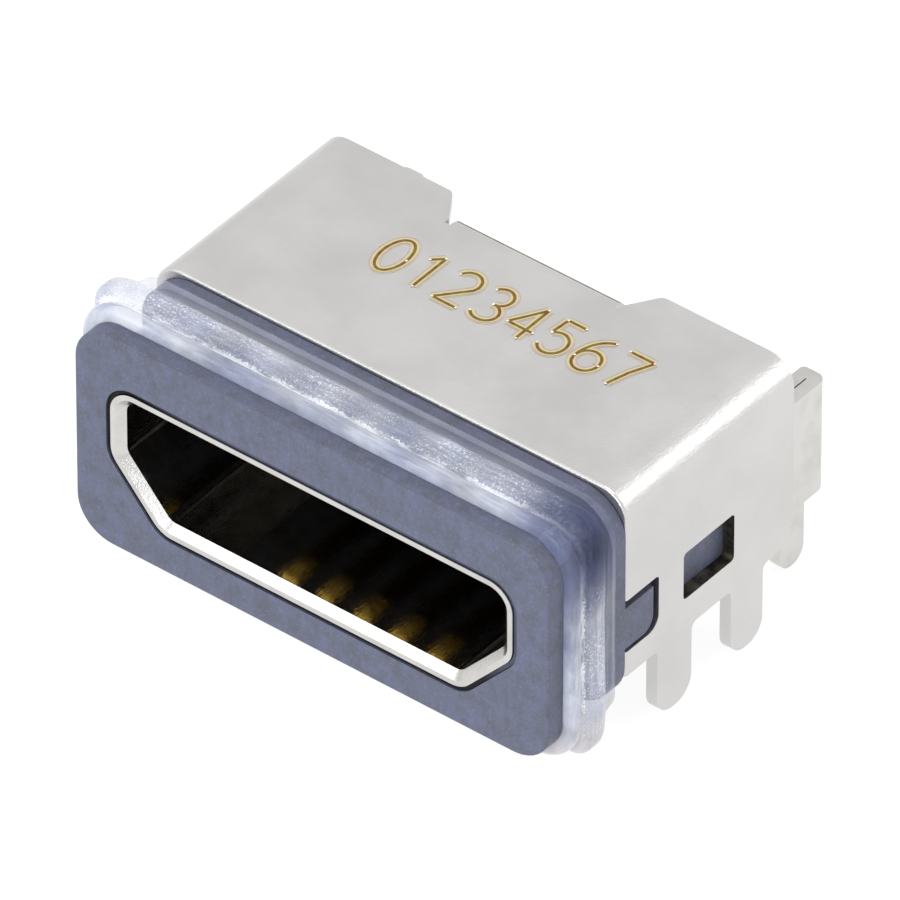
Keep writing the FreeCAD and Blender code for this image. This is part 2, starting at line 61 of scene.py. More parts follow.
MM = 0.001
BODY = "root"
# Depths of the silicone ring's front and rear faces.
RING_FRONT = 0.34
RING_REAR = 1.47

Colour = tuple[float, float, float, float]
Triple = tuple[float, float, float]
Bands = tuple[tuple[float, float], ...]

# Settings of a Mix node that mixes colours, and the name of its output.
IN_COLOUR = {"data_type": "RGBA", "out": "Result_Color"}


def srgb(text: str) -> Colour:
    """Turn an sRGB hex colour into linear RGBA.

    Args:
        text: Six hex digits.

    Returns:
        The linear colour with full alpha.
    """
    channels = [int(text[i : i + 2], 16) / 255 for i in (0, 2, 4)]
    linear = [c / 12.92 if c <= 0.04045 else ((c + 0.055) / 1.055) ** 2.4 for c in channels]
    return linear[0], linear[1], linear[2], 1.0


def repeats(size_mm: float) -> float:
    """The noise scale whose blotches are about size_mm across."""
    return 1.0 / (size_mm * MM)


def span(start: float, end: float, low: float, high: float) -> dict[str, float]:
    """Inputs of a Map Range node that turn start into low and end into high."""
    return {"From_Min": start, "From_Max": end, "To_Min": low, "To_Max": high}


def greys(bands: Bands) -> list[tuple[float, Colour]]:
    """Stops of a ramp, as a grey for the level at each place."""
    return [(place, (level, level, level, 1.0)) for place, level in bands]


class Join(Enum):
    """How a Math or Vector Math node joins its values."""

    PLUS = "ADD"
    TIMES = "MULTIPLY"
    TIMES_PLUS = "MULTIPLY_ADD"
    LARGER = "MAXIMUM"
    APART = "DISTANCE"


class NodeSheet:
    """A material's node tree, with one call that adds a node, its settings and its links."""

    def __init__(self, name: str) -> None:
        """Start an empty material.

        Args:
            name: The material's name.
        """
        self.material = bpy.data.materials.new(name)
        self.material.use_nodes = True
        self.tree = self.material.node_tree
        self.tree.nodes.clear()

    def add(self, kind: str, out: str = "", **values: Any) -> Any:
        """Add one node.

        Args:
            kind: The node's type, without ShaderNode in front.
            out: Identifier of the output that is wanted, or nothing for the first.
            **values: A lower-case name is a setting of the node, or the stops of a ramp. Any other is
                an input's identifier with _ for a space, and its value or the output to link to it.

        Returns:
            The output, or nothing from a node without one.
        """
        node = self.tree.nodes.new(f"ShaderNode{kind}")
        inputs = {socket.identifier.replace(" ", "_"): socket for socket in node.inputs}
        for name, value in values.items():
            if name == "stops":
                self.spread(node.color_ramp.elements, value)
            elif name.islower():
                setattr(node, name, value.value if isinstance(value, Join) else value)
            elif isinstance(value, bpy.types.NodeSocket):
                self.tree.links.new(value, inputs[name])
            else:
                inputs[name].default_value = value
        outputs = {socket.identifier: socket for socket in node.outputs}
        return outputs[out] if out else next(iter(outputs.values()), None)

    @staticmethod
    def spread(elements: Any, stops: list[tuple[float, Colour]]) -> None:
        """Put stops on a ramp: the ends on its own two, the others between them.

        Args:
            elements: The ramp's elements.
            stops: Places with their colours, in rising order.
        """
        elements[0].position, elements[0].color = stops[0]
        elements[1].position, elements[1].color = stops[-1]
        for place, colour in stops[1:-1]:
            elements.new(place).color = colour

    def finish(self, **values: Any) -> bpy.types.Material:
        """Close the tree with its one shader.

        Args:
            **values: The shader's inputs by name.

        Returns:
            The finished material.
        """
        self.add("OutputMaterial", Surface=self.add("BsdfPrincipled", **values))
        return self.material


@dataclass(frozen=True)
class MouldedPlastic:
    """Glass-filled liquid crystal polymer, moulded: matt, with pale mineral flecks and flow clouds."""

    name: str
    base: str
    dark: str
    tint: str
    fleck: str
    roughness: float = 0.5
    cloud_mm: float = 0.34
    streak_mm: float = 0.11
    fleck_mm: float = 0.045
    skin_mm: float = 0.03
    skin_depth_mm: float = 0.004

    def build(self) -> bpy.types.Material:
        """Build the material."""
        sheet = NodeSheet(self.name)
        point = sheet.add("TexCoord", "Object")
        # Flow clouds about a third of a millimetre across, as the resin froze in the mould.
        clouds = sheet.add("TexNoise", Vector=point, Scale=repeats(self.cloud_mm), Detail=5.0, Roughness=0.68)
        # Streaks of a tenth of a millimetre, twice as long along Z, as the filler lined up.
        upright = sheet.add("Mapping", Vector=point, Scale=(1.0, 1.0, 0.5))
        streaks = repeats(self.streak_mm)
        lines = sheet.add("TexNoise", Vector=upright, Scale=streaks, Detail=3.0, Roughness=0.65)
        lines = sheet.add("MapRange", Value=lines, **span(0.3, 0.7, -0.12, 0.12))
        flow = sheet.add("Math", operation=Join.PLUS, Value=clouds, Value_001=lines)
        tones = [(0.34, srgb(self.dark)), (0.5, srgb(self.base)), (0.66, srgb(self.tint))]
        body = sheet.add("ValToRGB", Fac=flow, stops=tones)
        # Flecks of the filler, the size of the specks in the face.
        flecks = sheet.add("TexNoise", Vector=point, Scale=repeats(self.fleck_mm), Detail=2.0, Roughness=0.6)
        share = sheet.add("MapRange", Value=flecks, **span(0.55, 0.75, 0.0, 0.4))
        pale = srgb(self.fleck)
        colour = sheet.add("Mix", **IN_COLOUR, Factor_Float=share, A_Color=body, B_Color=pale)
        # The mould's eroded skin breaks the highlights up.
        skin = sheet.add("TexNoise", Vector=point, Scale=repeats(self.skin_mm), Detail=3.0, Roughness=0.6)
        normal = sheet.add("Bump", Height=skin, Distance=self.skin_depth_mm * MM, Strength=0.6)
        return sheet.finish(Base_Color=colour, Roughness=self.roughness, IOR=1.5, Normal=normal)


@dataclass(frozen=True)
class PlatedSheet:
    """Nickel-plated phosphor bronze or steel sheet: satin from rolling, with faint long waves."""

    name: str
    colour: str
    shade: str
    roughness: float
    wave_mm: float = 1.6
    grain_mm: float = 0.03
    grain_depth_mm: float = 0.005

    def build(self) -> bpy.types.Material:
        """Build the material."""
        sheet = NodeSheet(self.name)
        point = sheet.add("TexCoord", "Object")
        # Handling marks and plating clouds, wave_mm across, shift the tone and the gloss a little.
        clouds = sheet.add("TexNoise", Vector=point, Scale=repeats(self.wave_mm), Detail=3.0, Roughness=0.55)
        colour = sheet.add("ValToRGB", Fac=clouds, stops=[(0.35, srgb(self.shade)), (0.6, srgb(self.colour))])
        gloss = span(0.3, 0.7, self.roughness * 0.85, self.roughness * 1.2)
        rough = sheet.add("MapRange", Value=clouds, **gloss)
        # Rolling grain, grain_mm wide and three times as long, gives the satin its fine sparkle.
        rolled = sheet.add("Mapping", Vector=point, Scale=(1.0, 0.35, 1.0))
        grain = sheet.add("TexNoise", Vector=rolled, Scale=repeats(self.grain_mm), Detail=2.0, Roughness=0.6)
        normal = sheet.add("Bump", Height=grain, Distance=self.grain_depth_mm * MM, Strength=0.6)
        return sheet.finish(Base_Color=colour, Metallic=1.0, Roughness=rough, Normal=normal)


@dataclass(frozen=True)
class GoldTips:
    """Contact strip: pitted gold at the sprung tip, a dark bronze-brown of painted shade behind it deeper in
    the tube, plain gold on the tail.
    """

    name: str
    bright: str
    pit: str
    # bronze is painted shade: the dark bronze-brown of the contacts deeper in the tube, where less light
    # reaches.
    bronze: str
    tail: str
    tip_end: float = 1.25
    tip_fade: float = 0.45
    tail_start: float = 4.4
    tail_fade: float = 0.3
    pit_mm: float = 0.06
    pit_depth_mm: float = 0.02

    def build(self) -> bpy.types.Material:
        """Build the material."""
        sheet = NodeSheet(self.name)
        point = sheet.add("TexCoord", "Object")
        back = sheet.add("SeparateXYZ", "Y", Vector=point)
        tip, tail = self.tip_end * MM, self.tail_start * MM
        # Worn pits in the gold of the tip, a few hundredths of a millimetre across.
        pits = sheet.add("TexNoise", Vector=point, Scale=repeats(self.pit_mm), Detail=2.0, Roughness=0.6)
        gold = sheet.add("ValToRGB", Fac=pits, stops=[(0.45, srgb(self.pit)), (0.53, srgb(self.bright))])
        # Painted shade: behind the tip the gold fades to dark bronze-brown, as less light reaches deeper into
        # the tube.
        into_shade = sheet.add("MapRange", Value=back, **span(tip, tip + self.tip_fade * MM, 0.0, 1.0))
        bronze = srgb(self.bronze)
        strip = sheet.add("Mix", **IN_COLOUR, Factor_Float=into_shade, A_Color=gold, B_Color=bronze)
        outwards = sheet.add("MapRange", Value=back, **span(tail, tail + self.tail_fade * MM, 0.0, 1.0))
        plain = srgb(self.tail)
        colour = sheet.add("Mix", **IN_COLOUR, Factor_Float=outwards, A_Color=strip, B_Color=plain)
        # Towards the tail the strip gets smoother and its pits shallower.
        shallow = sheet.add("MapRange", Value=back, **span(tip, tail, 1.0, 0.1))
        depth = sheet.add("Math", operation=Join.TIMES, Value=pits, Value_001=shallow)
        normal = sheet.add("Bump", Height=depth, Distance=self.pit_depth_mm * MM, Strength=0.8)
        rough = sheet.add("MapRange", Value=back, **span(tip, tail, 0.6, 0.3))
        return sheet.finish(Base_Color=colour, Metallic=1.0, Roughness=rough, Normal=normal)


@dataclass(frozen=True)
class CastResin:
    """Cast epoxy: dark and glossy, slightly uneven where it settled."""

    name: str
    colour: str
    bloom: str
    roughness: float
    slump_mm: float = 0.35
    slump_depth_mm: float = 0.02

    def build(self) -> bpy.types.Material:
        """Build the material."""
        sheet = NodeSheet(self.name)
        point = sheet.add("TexCoord", "Object")
        # The surface sank in soft dips as it set, and is a little greyer on their rims.
        slump = sheet.add("TexNoise", Vector=point, Scale=repeats(self.slump_mm), Detail=2.0, Roughness=0.5)
        colour = sheet.add("ValToRGB", Fac=slump, stops=[(0.3, srgb(self.colour)), (0.9, srgb(self.bloom))])
        normal = sheet.add("Bump", Height=slump, Distance=self.slump_depth_mm * MM, Strength=0.5)
        return sheet.finish(Base_Color=colour, Roughness=self.roughness, IOR=1.3, Normal=normal)


@dataclass(frozen=True)
class SealantBead:
    """Black dispensed bead, matt; to the left and at the bottom it is black partly as the bead and partly as
    painted shade in the gap, and it turns grey towards the top and right.

    It is fully black left of shade_left or below shade_low, and turns grey up to shade_end_left and
    shade_end_low.
    """

    name: str
    colour: str
    thin: str
    shade_left: float = -3.1
    shade_end_left: float = -2.2
    shade_low: float = -0.8
    shade_end_low: float = -0.3
    ragged_mm: float = 0.15

    def build(self) -> bpy.types.Material:
        """Build the material."""
        sheet = NodeSheet(self.name)
        point = sheet.add("TexCoord", "Object")
        # Painted shade: the gap is darkest to the left and below, and this fades out towards the top and
        # right.
        left = span(self.shade_left * MM, self.shade_end_left * MM, 0.0, 1.0)
        low = span(self.shade_low * MM, self.shade_end_low * MM, 0.0, 1.0)
        across = sheet.add("MapRange", Value=sheet.add("SeparateXYZ", "X", Vector=point), **left)
        up = sheet.add("MapRange", Value=sheet.add("SeparateXYZ", "Z", Vector=point), **low)
        corner = sheet.add("Math", operation=Join.TIMES, Value=across, Value_001=up)
        # The bead's thickness varies every 0.15 mm, as it was dispensed.
        ragged = sheet.add("TexNoise", Vector=point, Scale=repeats(self.ragged_mm), Detail=3.0, Roughness=0.6)
        ragged = sheet.add("MapRange", Value=ragged, **span(0.3, 0.7, 0.7, 1.0))
        share = sheet.add("Math", operation=Join.TIMES, Value=corner, Value_001=ragged)
        black, grey = srgb(self.colour), srgb(self.thin)
        colour = sheet.add("Mix", **IN_COLOUR, Factor_Float=share, A_Color=black, B_Color=grey)
        return sheet.finish(Base_Color=colour, Roughness=0.6, IOR=1.3)


@dataclass(frozen=True)
class SiliconeRubber:
    """Clear silicone, moulded: milky in the bulk of the lips, with the plastic behind showing through, and
    painted blue at its upper right corner as a painted reflection of the blue plastic.

    The bands give a level at each share of the way from the ring's front face to its rear face.
    """

    name: str
    colour: str
    depth: str
    # deep is painted: the blue of the plastic reflected and seen through at the upper right corner.
    reflected_blue: str
    bubble: str = "f4f5f8"
    gate: str = "b6b2b6"
    gate_low: float = -1.75
    gate_high: float = -1.1
    corner: Triple = (4.25, 0.85, 1.8)
    corner_core: float = 0.3
    corner_reach: float = 1.25
    cloud_mm: float = 0.7
    grain_mm: float = 0.04
    grain_shift: float = 0.07
    streak_mm: float = 0.05
    streak_squeeze: Triple = (0.12, 1.0, 0.12)
    blotch_mm: float = 0.8
    drift_mm: float = 0.9
    bubble_mm: float = 0.03
    skin_mm: float = 0.12
    skin_squeeze: Triple = (0.25, 1.0, 0.25)
    skin_depth_mm: float = 0.016
    bubble_milk: float = 0.4
    gate_milk: float = 0.4
    edge_milk: float = 0.4
    milk_bands: Bands = (
        (0.17, 0.53),
        (0.22, 0.42),
        (0.46, 0.42),
        (0.54, 0.52),
        (0.64, 0.46),
        (0.74, 0.13),
        (1.0, 0.08),
    )
    frost_bands: Bands = (
        (0.05, 0.1),
        (0.2, 0.1),
        (0.3, 0.85),
        (0.45, 0.85),
        (0.54, 1.0),
        (0.66, 1.0),
        (0.76, 0.15),
        (1.0, 0.1),
    )
    crease_bands: Bands = ((0.26, 0.0), (0.275, 0.95), (0.3, 0.95), (0.315, 0.0))

    def build(self) -> bpy.types.Material:
        """Build the material."""
        sheet = NodeSheet(self.name)
        point = sheet.add("TexCoord", "Object")
        depth = self.add_depth(sheet, point)
        # Flow lines 0.05 mm wide and eight times as long run along the lips.
        along = sheet.add("Mapping", Vector=point, Scale=self.streak_squeeze)
        width = repeats(self.streak_mm)
        streaks = sheet.add("TexNoise", Vector=along, Scale=width, Detail=2.0, Roughness=0.6)
        # Round its upper right corner the ring's milk thins and a painted blue stands for the blue plastic
        # reflected and seen through there: 0.2 there, 1 elsewhere.
        corner = tuple(value * MM for value in self.corner)
        far = sheet.add("VectorMath", "Value", operation=Join.APART, Vector=point, Vector_001=corner)
        near = span(self.corner_core * MM, self.corner_reach * MM, 0.2, 1.0)
        off_corner = sheet.add("MapRange", Value=far, **near)
        white = self.add_white(sheet, point, depth, streaks, off_corner)
        # The gate side, at the bottom, is the thickest and the greyest: 1 there, and 0 above it.
        up = sheet.add("SeparateXYZ", "Z", Vector=point)
        low = sheet.add("MapRange", Value=up, **span(self.gate_low * MM, self.gate_high * MM, 1.0, 0.0))
        colour = self.add_colour(sheet, point, off_corner, white, low)
        # Seen edge on, more milk lies in line, so the outline shows against a white ground.
        facing = sheet.add("LayerWeight", "Facing", Blend=0.35)
        edge = sheet.add("Math", operation=Join.TIMES, Value=facing, Value_001=off_corner)
        # Milk, white, gate and edge add up to how little shows through.
        body = self.add_milk(sheet, point, depth, streaks, off_corner)
        for more, milk in ((white, self.bubble_milk), (low, self.gate_milk), (edge, self.edge_milk)):
            body = sheet.add("Math", operation=Join.TIMES_PLUS, Value=more, Value_001=milk, Value_002=body)
        # The moulded skin ripples along the lips.
        drawn = sheet.add("Mapping", Vector=point, Scale=self.skin_squeeze)
        skin = sheet.add("TexNoise", Vector=drawn, Scale=repeats(self.skin_mm), Detail=3.0, Roughness=0.6)
        normal = sheet.add("Bump", Height=skin, Distance=self.skin_depth_mm * MM, Strength=0.6)
        return sheet.finish(
            Base_Color=colour,
            Roughness=0.16,
            IOR=1.41,
            Alpha=body,
            Coat_Weight=0.3,
            Coat_Roughness=0.08,
            Normal=normal,
        )

    def add_depth(self, sheet: NodeSheet, point: Any) -> Any:
        """How far back a point lies, 0 at the ring's front face and 1 at its rear face, with a ragged edge.

        Args:
            sheet: The material.
            point: The point on the ring.

        Returns:
            The value.
        """
        back = sheet.add("SeparateXYZ", "Y", Vector=point)
        share = sheet.add("MapRange", Value=back, **span(RING_FRONT * MM, RING_REAR * MM, 0.0, 1.0))
        grain = sheet.add("TexNoise", Vector=point, Scale=repeats(self.grain_mm), Detail=2.0, Roughness=0.6)
        return sheet.add(
            "Math", operation=Join.TIMES_PLUS, Value=grain, Value_001=self.grain_shift, Value_002=share
        )

    def add_milk(self, sheet: NodeSheet, point: Any, depth: Any, streaks: Any, off_corner: Any) -> Any:
        """How milky the silicone is: bands along the depth, times flow lines, blotches and the thinning at
        the upper right corner.

        Args:
            sheet: The material.
            point: The point on the ring.
            depth: How far back it lies.
            streaks: The flow lines.
            off_corner: 0.2 at the upper right corner, 1 elsewhere.

        Returns:
            The value.
        """
        milk = sheet.add("ValToRGB", Fac=depth, stops=greys(self.milk_bands))
        lines = sheet.add("MapRange", Value=streaks, **span(0.3, 0.7, 0.75, 1.25))
        milk = sheet.add("Math", operation=Join.TIMES, Value=milk, Value_001=lines)
        # Where the milk thins out, blotches of 0.8 mm let the plastic behind show deeper.
        size = repeats(self.blotch_mm)
        blotches = sheet.add("TexNoise", Vector=point, Scale=size, Detail=1.0, Roughness=0.5)
        thin = sheet.add("MapRange", Value=blotches, **span(0.35, 0.62, 0.75, 1.2))
        milk = sheet.add("Math", operation=Join.TIMES, Value=milk, Value_001=thin)
        return sheet.add("Math", operation=Join.TIMES, Value=milk, Value_001=off_corner)

    def add_white(self, sheet: NodeSheet, point: Any, depth: Any, streaks: Any, off_corner: Any) -> Any:
        """How white a point is: the larger of the bubbles' specks and the crease between the lips.

        Args:
            sheet: The material.
            point: The point on the ring.
            depth: How far back it lies.
            streaks: The flow lines.
            off_corner: 0.2 at the upper right corner, 1 elsewhere.

        Returns:
            The value.
        """
        # Bubbles of about 0.03 mm in the frosted bands, in drifts of about a millimetre.
        drifts = sheet.add("TexNoise", Vector=point, Scale=repeats(self.drift_mm), Detail=2.0, Roughness=0.5)
        drifts = sheet.add("MapRange", Value=drifts, **span(0.38, 0.56, 0.35, 1.0))
        drifts = sheet.add("Math", operation=Join.TIMES, Value=drifts, Value_001=off_corner)
        size = repeats(self.bubble_mm)
        bubbles = sheet.add("TexNoise", Vector=point, Scale=size, Detail=2.0, Roughness=0.6)
        bubbles = sheet.add("MapRange", Value=bubbles, **span(0.54, 0.7, 0.0, 0.9))
        frost = sheet.add("ValToRGB", Fac=depth, stops=greys(self.frost_bands))
        frosted = sheet.add("Math", operation=Join.TIMES, Value=bubbles, Value_001=frost)
        specks = sheet.add("Math", operation=Join.TIMES, Value=frosted, Value_001=drifts)
        # A white crease follows the valley between the lips, broken like the flow lines.
        crease = sheet.add("ValToRGB", Fac=depth, stops=greys(self.crease_bands))
        broken = sheet.add("MapRange", Value=streaks, **span(0.35, 0.55, 0.3, 1.0))
        crease = sheet.add("Math", operation=Join.TIMES, Value=crease, Value_001=broken)
        crease = sheet.add("Math", operation=Join.TIMES, Value=crease, Value_001=off_corner)
        return sheet.add("Math", operation=Join.LARGER, Value=specks, Value_001=crease)

    def add_colour(self, sheet: NodeSheet, point: Any, off_corner: Any, white: Any, low: Any) -> Any:
        """The silicone's colour: clouded, painted blue at the upper right corner for the blue plastic
        reflected and seen through there, white in bubbles, grey at the gate.

        Args:
            sheet: The material.
            point: The point on the ring.
            off_corner: 0.2 at the upper right corner, 1 elsewhere.
            white: How white it is.
            low: How near the gate it is.

        Returns:
            The colour.
        """
        clouds = sheet.add("TexNoise", Vector=point, Scale=repeats(self.cloud_mm), Detail=3.0, Roughness=0.5)
        tones = [(0.35, srgb(self.depth)), (0.65, srgb(self.colour))]
        colour = sheet.add("ValToRGB", Fac=clouds, stops=tones)
        # Painted reflection: the corner takes the blue of the plastic behind.
        colour = sheet.add("Mix", **IN_COLOUR, Factor_Float=off_corner, A_Color=srgb(self.reflected_blue), B_Color=colour)
        for share, tone in ((white, self.bubble), (low, self.gate)):
            colour = sheet.add("Mix", **IN_COLOUR, Factor_Float=share, A_Color=colour, B_Color=srgb(tone))
        return colour


@dataclass(frozen=True)
class LaserMark:
    """Nickel plating tinted by a marking laser: gold to brown, darker where the beam slowed."""

    name: str
    bright: str
    burnt: str
    spot_mm: float = 0.11

    def build(self) -> bpy.types.Material:
        """Build the material."""
        sheet = NodeSheet(self.name)
        point = sheet.add("TexCoord", "Object")
        # The heat varies from spot to spot along the line.
        heat = sheet.add("TexNoise", Vector=point, Scale=repeats(self.spot_mm), Detail=2.0, Roughness=0.6)
        colour = sheet.add("ValToRGB", Fac=heat, stops=[(0.36, srgb(self.burnt)), (0.6, srgb(self.bright))])
        return sheet.finish(Base_Color=colour, Metallic=0.8, Roughness=0.35)


class Finishes:
    """Every finish of the socket, built once."""

    def __init__(self) -> None:
        """Build the materials."""
        housing_tones = ("4f5366", "484c5a", "555872", "7c808e")
        carrier_tones = ("232226", "18181a", "26262a", "36363a")
        self.housing = MouldedPlastic("moulded_blue_grey_plastic", *housing_tones).build()
        self.carrier = MouldedPlastic("moulded_black_plastic", *carrier_tones, roughness=0.42).build()
        cover_grain = {"wave_mm": 1.6, "grain_mm": 0.04, "grain_depth_mm": 0.011}
        self.cover = PlatedSheet("satin_nickel_sheet", "cfcecc", "c8c7c5", 0.32, **cover_grain).build()
        self.shell = PlatedSheet("bright_nickel_tube", "d0cecb", "c6c4c1", 0.22, wave_mm=0.5).build()
        bore_grain = {"wave_mm": 0.2, "grain_mm": 0.05, "grain_depth_mm": 0.003}
        self.bore = PlatedSheet("smooth_drawn_bore", "dcd8d0", "ccc8c0", 0.1, **bore_grain).build()
        # The punched edge is bare bronze, painted darker than bare bronze as the shade inside the windows.
        self.punched = PlatedSheet("punched_bronze_edge", "847e6c", "403c34", 0.38, wave_mm=0.2).build()
        # 2a1e0e is the painted shade of the contacts deeper in the tube.
        self.gold = GoldTips("gold_plated_bronze", "ffe27a", "a8701c", "2a1e0e", "e6bd58").build()
        # The bead is partly painted shade: black where the gap is shaded, grey elsewhere.
        self.sealant = SealantBead("black_sealant_bead", "060608", "4a4e5e").build()
        self.potting = CastResin("black_cast_resin", "08080a", "1c1c20", roughness=0.28).build()
        # 0c3c98 is the painted blue of the plastic reflected at the ring's upper right corner.
        self.silicone = SiliconeRubber("clear_silicone_rubber", "c4c7d2", "aeb4cc", "0c3c98").build()
        self.mark = LaserMark("laser_tinted_plating", "857636", "7c5630").build()
        self.halo = LaserMark("laser_halo", "dccf9a", "dcc49e").build()
        self.rim = LaserMark("laser_rim", "c9b79c", "c2aca0").build()
        self.crater = LaserMark("laser_crater", "fbfaf6", "efe9dc").build()


def mesh_piece(name: str, verts: np.ndarray, faces: np.ndarray, material: bpy.types.Material) -> Any:
    """Put a grid of points into a smooth mesh object at the origin.

    Args:
        name: Object name.
        verts: Points, one row each, in metres.
        faces: Indices of each face's corners, one row each.
        material: Its finish.

    Returns:
        The new object.
    """
    mesh = bpy.data.meshes.new(name)
    mesh.from_pydata(verts.tolist(), [], faces.tolist())
    mesh.materials.append(material)
    mesh.polygons.foreach_set("use_smooth", np.ones(len(mesh.polygons), bool))
    mesh.update()
    piece = bpy.data.objects.new(name, mesh)
    bpy.context.scene.collection.objects.link(piece)
    return piece


def ring_faces(rows: int, columns: int) -> np.ndarray:
    """Quads of a grid that closes both ways.

    Args:
        rows: Points along the path.
        columns: Points round the profile.

    Returns:
        One row of four indices for each quad.
    """
    i, j = np.meshgrid(np.arange(rows), np.arange(columns), indexing="ij")
    after, beside = (i + 1) % rows, (j + 1) % columns
    corners = (i * columns + j, i * columns + beside, after * columns + beside, after * columns + j)
    return np.stack(corners, axis=-1).reshape(-1, 4)


def smooth_copy(
    node: Any, name: str, material: bpy.types.Material, sharp: float = 0.55, weld: float = 1e-7
) -> Any:
    """A merged copy of a CAD node with smooth bends and crisp edges.

    Args:
        node: The CAD node's object.
        name: Name of the copy.
        material: Its finish.
        sharp: Angle in radians past which an edge stays crisp.
        weld: Distance in metres within which corners are merged.

    Returns:
        The new object.
    """
    work = bmesh.new()
    work.from_mesh(node.data)
    bmesh.ops.remove_doubles(work, verts=work.verts, dist=weld)
    for edge in work.edges:
        edge.smooth = len(edge.link_faces) == 2 and edge.calc_face_angle(math.pi) < sharp
    for face in work.faces:
        face.smooth = True
        face.material_index = 0
    mesh = bpy.data.meshes.new(name)
    work.to_mesh(mesh)
    work.free()
    mesh.materials.clear()
    mesh.materials.append(material)
    piece = bpy.data.objects.new(name, mesh)
    bpy.context.scene.collection.objects.link(piece)
    return piece


@dataclass
class SealRing:
    """The silicone ring: two lips on a waist, carried round the flange's rounded outline.

    The profile's points are a depth behind the flange's face and how far the ring stands out from its
    waist there. Each wave is a height, the number of times it repeats round the ring, and its lag.
    """

    half_width: float = 4.275
    half_height: float = 1.885
    lift: float = 0.105
    corner: float = 0.61
    front_lip_corner: float = 0.65
    rear_lip_corner: float = 0.36
    lips_part: float = 0.6
    lip_height: float = 0.24
    section_steps: int = 6
    bend_steps: int = 36
    short_side_steps: int = 70
    long_side_steps: int = 160
    waves: tuple[Triple, ...] = ((0.005, 5.0, 0.4), (0.003, 13.0, 1.3), (0.002, 29.0, 0.0))
    profile: Bands = (
        (RING_FRONT, -0.1),
        (RING_FRONT, 0.1),
        (0.36, 0.17),
        (0.42, 0.2),
        (0.52, 0.2),
        (0.575, 0.17),
        (0.6, 0.13),
        (0.625, 0.14),
        (0.66, 0.19),
        (0.72, 0.235),
        (0.8, 0.243),
        (0.92, 0.243),
        (1.02, 0.23),
        (1.1, 0.195),
        (1.17, 0.15),
        (1.26, 0.115),
        (1.36, 0.1),
        (1.44, 0.085),
        (RING_REAR, 0.04),
        (RING_REAR, -0.375),
        (0.9, -0.385),
        (RING_FRONT, -0.375),
    )

    def section(self) -> np.ndarray:
        """The ring's section as a closed smooth line.

        The points are joined by a closed cardinal spline: its slope at each point is half the step from
        the point before to the point after, so each lip is a soft hump.

        Returns:
            Depth and stand-out of each point, in millimetres.
        """
        knots = np.array(self.profile)
        before, after, beyond = (np.roll(knots, shift, axis=0) for shift in (1, -1, -2))
        t = np.linspace(0, 1, self.section_steps, endpoint=False)[:, None, None]
        line = 0.5 * (
            2 * knots
            + (after - before) * t
            + (2 * before - 5 * knots + 4 * after - beyond) * t**2
            + (3 * knots - before - 3 * after + beyond) * t**3
        )
        return line.transpose(1, 0, 2).reshape(-1, 2)

    def path(self) -> tuple[np.ndarray, np.ndarray]:
        """Samples once round a rounded rectangle of any size.

        A sample stands at corner * (half size - radius) + direction * radius: on a bend the corner
        stays and the direction turns, on a side the direction stays and the corner travels.

        Returns:
            The corners, from -1 to 1 in X and Z, and the unit directions.
        """
        turns = ((1, -1), (1, 1), (-1, 1), (-1, -1))
        corners, directions = [], []
        for quarter, corner in enumerate(turns):
            following = turns[(quarter + 1) % 4]
            angle = (quarter - 1) * math.pi / 2 + np.linspace(0, math.pi / 2, self.bend_steps)
            corners.append(np.repeat([corner], len(angle), axis=0))
            directions.append(np.stack([np.cos(angle), np.sin(angle)], axis=1))
            steps = self.short_side_steps if quarter % 2 == 0 else self.long_side_steps
            share = np.linspace(0, 1, steps + 2)[1:-1, None]
            corners.append(np.array(corner) * (1 - share) + np.array(following) * share)
            directions.append(np.repeat(directions[-1][-1:], steps, axis=0))
        return np.concatenate(corners), np.concatenate(directions)

    def build(self, finish: bpy.types.Material) -> Any:
        """Carry the section round the outline.

        A section point that stands out by s lies on a rounded rectangle that is s bigger all round.
        Its radius runs from the waist's, s bigger too, to the lip's own at the lip's crest. Waves
        of a few thousandths of a millimetre keep the lips from looking machined: each is its height
        times the sine of the angle round the ring times its repeats, plus its lag.

        Args:
            finish: The silicone.

        Returns:
            The ring.
        """
        corners, directions = self.path()
        depth, stand = self.section().T
        u = np.linspace(0, 2 * math.pi, len(corners), endpoint=False)
        wave = sum(height * np.sin(turns * u + lag) for height, turns, lag in self.waves)
        share = np.clip(stand / self.lip_height, 0, 1)
        out = stand[None, :] + wave[:, None] * share[None, :]
        lip_corner = np.where(depth < self.lips_part, self.front_lip_corner, self.rear_lip_corner)
        radius = (self.corner + stand) * (1 - share) + lip_corner * share
        half = np.array([self.half_width, self.half_height]) + out[..., None]
        flat = corners[:, None, :] * (half - radius[None, :, None])
        flat = flat + directions[:, None, :] * radius[None, :, None] + np.array([0, self.lift])
        back = depth[None, :] + 0.5 * wave[:, None] * share[None, :]
        verts = np.stack([flat[..., 0], back, flat[..., 1]], axis=-1)
        return mesh_piece("silicone_ring", verts.reshape(-1, 3) * MM, ring_faces(*out.shape), finish)


